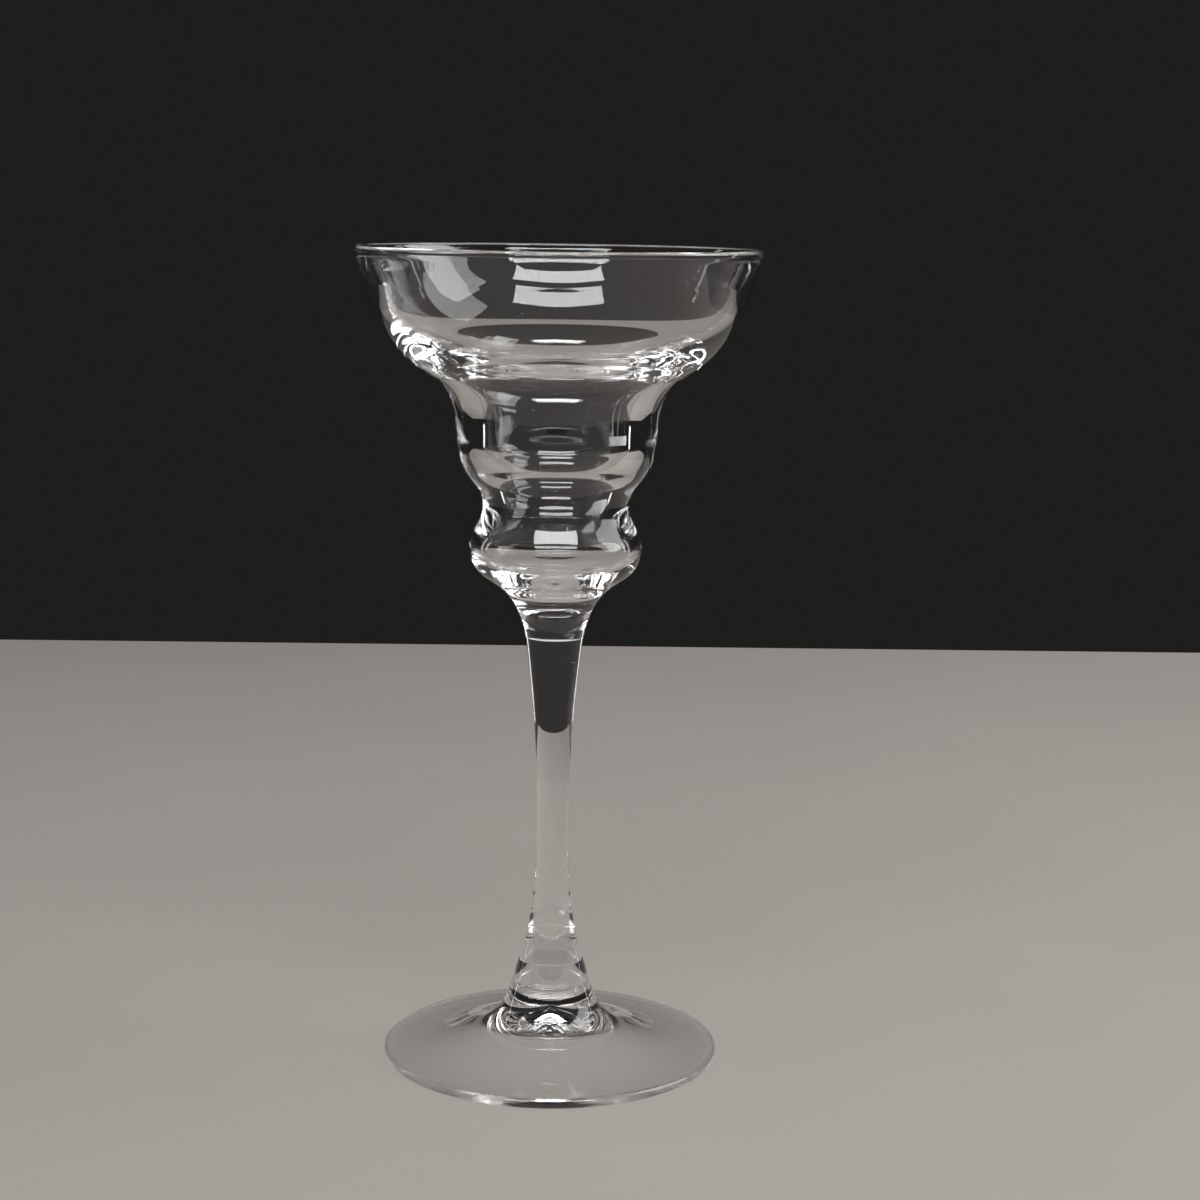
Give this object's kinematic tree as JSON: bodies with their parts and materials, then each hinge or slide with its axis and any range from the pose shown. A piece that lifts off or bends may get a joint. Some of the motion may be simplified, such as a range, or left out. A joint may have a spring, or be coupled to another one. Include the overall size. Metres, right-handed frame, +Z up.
{
  "type": "sherbet glass",
  "caption": "Tall stemmed sherbet glass with a stepped bowl: a wide cup above a narrower tier and a bulb, on a slim drawn stem and a thin round foot.",
  "frame": {"origin": "centre of the foot, on the surface that the glass stands on", "axes": "+Z up along the axis of the stem; X and Y are free, because the glass is a solid of revolution"},
  "size_m": [0.088, 0.088, 0.18],
  "materials": {
    "bowl_glass": "clear, blown and fire-polished",
    "stem_glass": "clear, drawn",
    "foot_glass": "clear, pressed and fire-polished"
  },
  "bodies": {
    "root": {"bowl": "bowl_glass", "stem": "stem_glass", "foot": "foot_glass"}
  },
  "joints": []
}
